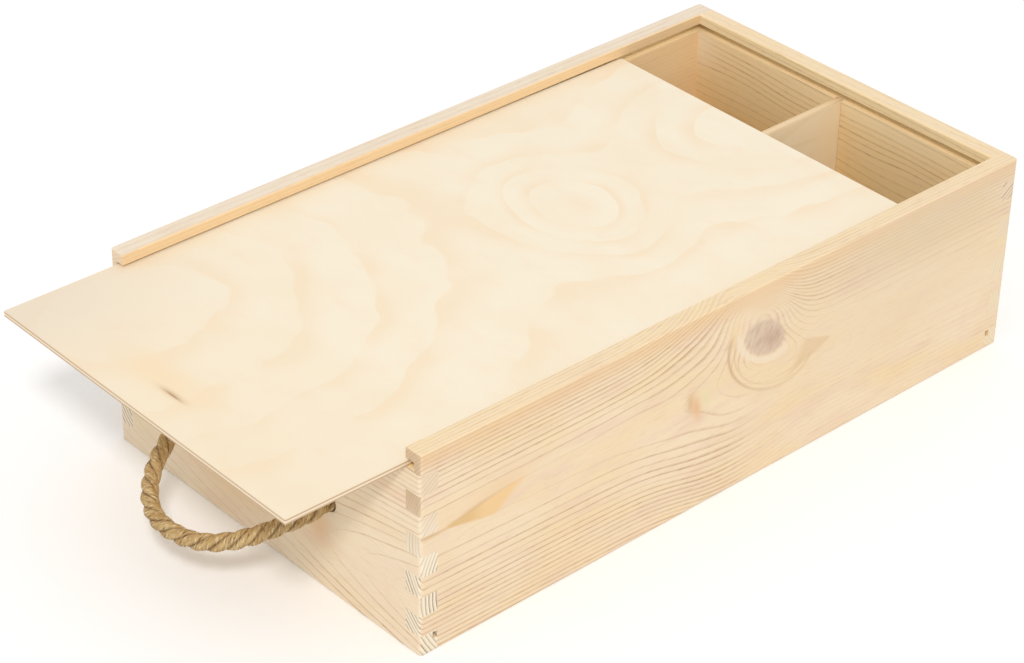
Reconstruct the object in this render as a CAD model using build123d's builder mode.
from build123d import *
import os
from math import cos, pi, radians, sin, tan

# A two-bottle wooden wine box: finger-jointed pine boards, a sliding plywood lid and a rope handle.
#
# Millimetres, +Z up. X runs across the width, +X to the right seen from the front. The front, where
# the lid slides out and the rope hangs, looks along -Y. The origin lies on the surface that the box
# stands on, under the middle of all that stands over it, the drawn lid included.

# --- driving dimensions -------------------------------------------------------------------------
box_width = 205.0  # across, outside
box_length = 360.0  # front to back, outside
box_height = 100.0  # the side boards and the rear board
side_thickness = 9.0  # the left and right boards
end_thickness = 9.0  # the front and rear boards
finger_count = 10  # equal fingers in the height, shared by turns between side and end boards

corner_ease = 1.8  # sanded radius of the four upright corners
edge_ease = 0.8  # sanded radius of the outer top and bottom edges
rim_ease = 0.5  # small bevel of the inner top edges

lid_thickness = 3.0
lip_height = 5.0  # wood left above the lid's groove
lid_lift = 1.0  # free height over the lid in its groove
lid_groove_depth = 5.0  # into the side boards
lid_end_groove_depth = 6.0  # into the rear board
lid_side_play = 2.5  # free width on each side of a centred lid
lid_turn = 0.7  # degrees that the lid stands askew in its wide grooves, right edge further out
lid_drift = 0.1  # the lid's middle lies this far to the left of the middle
lid_end_play = 1.4  # between the shut lid and the bottom of the rear groove, halfway across
lid_drawn = 59.2  # how far the lid stands out of the front at rest, halfway across
lid_ease = 0.3  # bevel round the lid's faces

bottom_thickness = 3.0
bottom_lift = 6.5  # the bottom panel's underside above the standing surface
bottom_groove_depth = 2.5
bottom_play = 0.3  # free length at each edge of the bottom panel in its groove

divider_thickness = 4.0
divider_housing_depth = 2.5  # into the front and rear boards
divider_play = 0.2  # at each face of the divider and at each of its ends

rope_diameter = 8.0
hole_play = 1.0  # free width all round the rope in its hole
hole_spacing = 89.0
hole_height = 46.5
knot_width = 22.0
knot_depth = 20.0
knot_bevel = 4.0  # where the knot bears on the board, and half as much again behind
tail_length = 10.0  # the cut end that stands out of the back of the knot

# --- worked out from them -----------------------------------------------------------------------
lid_width = box_width - 2 * side_thickness + 2 * (lid_groove_depth - lid_side_play)
lid_reach = lid_drawn + (lid_width / 2 - lid_ease) * sin(radians(lid_turn))  # its right front corner
box_centre = lid_reach / 2
front_face = box_centre - box_length / 2
rear_face = box_centre + box_length / 2
front_inside = front_face + end_thickness
rear_inside = rear_face - end_thickness
side_face = box_width / 2
side_inside = side_face - side_thickness
inner_width = 2 * side_inside
inner_length = rear_inside - front_inside
finger = box_height / finger_count
groove_top = box_height - lip_height
groove_floor = groove_top - lid_thickness - lid_lift
bottom_top = bottom_lift + bottom_thickness

box_floor = Plane((0, box_centre, 0))
front_plane = Plane((0, front_face, 0), x_dir=(1, 0, 0), z_dir=(0, -1, 0))
front_inside_plane = Plane((0, front_inside, 0), x_dir=(1, 0, 0), z_dir=(0, -1, 0))
rear_inside_plane = Plane((0, rear_inside, 0), x_dir=(-1, 0, 0), z_dir=(0, 1, 0))
right_inside_plane = Plane((side_inside, box_centre, 0), x_dir=(0, 1, 0), z_dir=(1, 0, 0))

# fingers are counted down from the top rim: the side boards keep 0, 2, 4 ..., the ends 1, 3, 5 ...
side_fingers = range(0, finger_count, 2)
end_fingers = range(1, finger_count, 2)


def finger_middle(number):
    """Height of the middle of a finger, counted down from the top rim."""
    return box_height - (number + 0.5) * finger


# --- the sanded frame: what the eased edges leave of all four boards ------------------------------
with BuildPart() as sanded_frame:
    with BuildSketch(box_floor):
        RectangleRounded(box_width, box_length, corner_ease)
    extrude(amount=box_height)
    outer_rims = sanded_frame.edges().group_by(Axis.Z)
    fillet(outer_rims[0] + outer_rims[-1], edge_ease)
    with BuildSketch(box_floor.offset(box_height)):
        Rectangle(inner_width + 2 * rim_ease, inner_length + 2 * rim_ease)
    extrude(amount=-rim_ease, taper=45, mode=Mode.SUBTRACT)

# --- side boards ----------------------------------------------------------------------------------
with BuildPart() as right_side:
    with BuildSketch(right_inside_plane):
        Rectangle(box_length, box_height, align=(Align.CENTER, Align.MIN))
        notch_y = (box_length - end_thickness) / 2
        notches = [(end * notch_y, finger_middle(number)) for number in end_fingers for end in (-1, 1)]
        with Locations(*notches):
            Rectangle(end_thickness, finger, mode=Mode.SUBTRACT)
    extrude(amount=side_thickness)
    # the lid's groove runs out at the front and stops in the rear corner
    with BuildSketch(right_inside_plane):
        groove_end = inner_length / 2 + lid_end_groove_depth
        with Locations((-box_length / 2, groove_floor)):
            Rectangle(
                box_length / 2 + groove_end,
                groove_top - groove_floor,
                align=(Align.MIN, Align.MIN),
            )
    extrude(amount=lid_groove_depth, mode=Mode.SUBTRACT)
    with BuildSketch(right_inside_plane):
        with Locations((0, bottom_lift)):
            Rectangle(box_length, bottom_thickness, align=(Align.CENTER, Align.MIN))
    extrude(amount=bottom_groove_depth, mode=Mode.SUBTRACT)
    add(sanded_frame.part, mode=Mode.INTERSECT)

with BuildPart() as left_side:
    mirror(right_side.part, about=Plane.YZ)

# --- front board: one finger lower, so that the lid passes over it ---------------------------------
with BuildPart() as front_board:
    with BuildSketch(front_inside_plane):
        Rectangle(inner_width, groove_floor, align=(Align.CENTER, Align.MIN))
        with Locations(*[(0, finger_middle(number)) for number in end_fingers]):
            Rectangle(box_width, finger)
    extrude(amount=end_thickness)
    with BuildSketch(front_inside_plane):
        with Locations((0, bottom_lift)):
            Rectangle(box_width, bottom_thickness, align=(Align.CENTER, Align.MIN))
    extrude(amount=bottom_groove_depth, mode=Mode.SUBTRACT)
    with BuildSketch(front_inside_plane):
        with Locations((0, bottom_top)):
            Rectangle(
                divider_thickness + 2 * divider_play,
                groove_floor - bottom_top,
                align=(Align.CENTER, Align.MIN),
            )
    extrude(amount=divider_housing_depth, mode=Mode.SUBTRACT)
    with BuildSketch(front_inside_plane):
        with Locations((-hole_spacing / 2, hole_height), (hole_spacing / 2, hole_height)):
            Circle(rope_diameter / 2 + hole_play)
    extrude(amount=end_thickness, mode=Mode.SUBTRACT)
    add(sanded_frame.part, mode=Mode.INTERSECT)

# --- rear board: full height, with a groove for the lid's end ---------------------------------------
with BuildPart() as rear_board:
    with BuildSketch(rear_inside_plane):
        Rectangle(inner_width, box_height, align=(Align.CENTER, Align.MIN))
        with Locations(*[(0, finger_middle(number)) for number in end_fingers]):
            Rectangle(box_width, finger)
    extrude(amount=end_thickness)
    with BuildSketch(rear_inside_plane):
        with Locations((0, groove_floor)):
            Rectangle(inner_width, groove_top - groove_floor, align=(Align.CENTER, Align.MIN))
    extrude(amount=lid_end_groove_depth, mode=Mode.SUBTRACT)
    with BuildSketch(rear_inside_plane):
        with Locations((0, bottom_lift)):
            Rectangle(box_width, bottom_thickness, align=(Align.CENTER, Align.MIN))
    extrude(amount=bottom_groove_depth, mode=Mode.SUBTRACT)
    with BuildSketch(rear_inside_plane):
        with Locations((0, bottom_top)):
            Rectangle(
                divider_thickness + 2 * divider_play,
                groove_floor - bottom_top,
                align=(Align.CENTER, Align.MIN),
            )
    extrude(amount=divider_housing_depth, mode=Mode.SUBTRACT)
    add(sanded_frame.part, mode=Mode.INTERSECT)

# --- plywood: bottom panel, divider and lid ---------------------------------------------------------
panel_reach = 2 * (bottom_groove_depth - bottom_play)
with BuildPart() as bottom_panel:
    with BuildSketch(box_floor.offset(bottom_lift)):
        Rectangle(inner_width + panel_reach, inner_length + panel_reach)
    extrude(amount=bottom_thickness)

divider_reach = 2 * (divider_housing_depth - divider_play)
with BuildPart() as divider:
    with BuildSketch(box_floor.offset(bottom_top)):
        Rectangle(divider_thickness, inner_length + divider_reach)
    extrude(amount=groove_floor - bottom_top)

lid_length = end_thickness + inner_length + lid_end_groove_depth - lid_end_play
lid_middle = front_face - lid_drawn + lid_length / 2 * cos(radians(lid_turn))
with BuildPart() as lid:
    with BuildSketch(Plane((-lid_drift, lid_middle, groove_floor))):
        Rectangle(lid_width, lid_length, rotation=-lid_turn)
    extrude(amount=lid_thickness)
    chamfer(lid.edges(), lid_ease)

# --- rope: one loop through two holes, held by a knot behind each -----------------------------------
# Points of the route from the right knot to the left one: across, out from the front, down from the
# holes. The ends run straight through the board.
rope_end = hole_spacing / 2
rope_lie = [
    (rope_end, -end_thickness, 0.0),
    (rope_end, 0.8, 0.0),
    (43.8, 9.6, 2.6),
    (39.2, 19.6, 5.8),
    (30.6, 34.6, 11.2),
    (17.0, 45.9, 15.2),
    (-4.0, 49.6, 16.5),
    (-19.6, 44.8, 14.8),
    (-32.4, 33.2, 10.9),
    (-39.6, 20.2, 6.3),
    (-43.2, 9.8, 2.4),
    (-rope_end, 0.8, 0.0),
    (-rope_end, -end_thickness, 0.0),
]
rope_points = [Vector(x, front_face - out, hole_height - down) for x, out, down in rope_lie]
run_share = 0.45  # of the shorter run, on each side of a corner, that its arc takes up
rope_radii = []
for before, here, after in zip(rope_points, rope_points[1:], rope_points[2:]):
    turn = (here - before).get_angle(after - here)
    shorter = min((here - before).length, (after - here).length)
    rope_radii.append(run_share * shorter / tan(radians(turn / 2)))
print("rope radii:", [round(radius, 1) for radius in rope_radii])

with BuildPart() as rope_handle:
    with BuildLine() as rope_line:
        FilletPolyline(*rope_points, radius=rope_radii)
    with BuildSketch(rope_line.line ^ 0):
        Circle(rope_diameter / 2)
    sweep(path=rope_line.line)
rope_length = rope_line.wire().length
rope_section = pi * rope_diameter**2 / 4
print(f"rope: {rope_length:.1f} mm, volume {rope_handle.part.volume:.0f} = {rope_section * rope_length:.0f}")

# a knot bears on the board's inner face round its hole, and its cut end points into the box
knot_seat = Plane((rope_end, front_inside, hole_height), x_dir=(1, 0, 0), z_dir=(0, 1, 0))
with BuildPart() as rope_knot_right:
    with BuildSketch(knot_seat):
        Circle(knot_width / 2)
    extrude(amount=knot_depth)
    rims = rope_knot_right.edges().filter_by(GeomType.CIRCLE).sort_by(Axis.Y)
    chamfer(rims[0], knot_bevel)
    rims = rope_knot_right.edges().filter_by(GeomType.CIRCLE).sort_by(Axis.Y)
    chamfer(rims[-1], 1.5 * knot_bevel)
    with BuildSketch(knot_seat.offset(knot_depth)):
        Circle(rope_diameter / 2)
    extrude(amount=tail_length)

with BuildPart() as rope_knot_left:
    mirror(rope_knot_right.part, about=Plane.YZ)

# --- write every piece ------------------------------------------------------------------------------
pieces = {
    "left_side": left_side,
    "right_side": right_side,
    "front_board": front_board,
    "rear_board": rear_board,
    "bottom_panel": bottom_panel,
    "divider": divider,
    "lid": lid,
    "rope_handle": rope_handle,
    "rope_knot_left": rope_knot_left,
    "rope_knot_right": rope_knot_right,
}
os.makedirs("parts", exist_ok=True)
for name, piece in pieces.items():
    piece.part.label = name
    export_step(piece.part, f"parts/{name}.step")
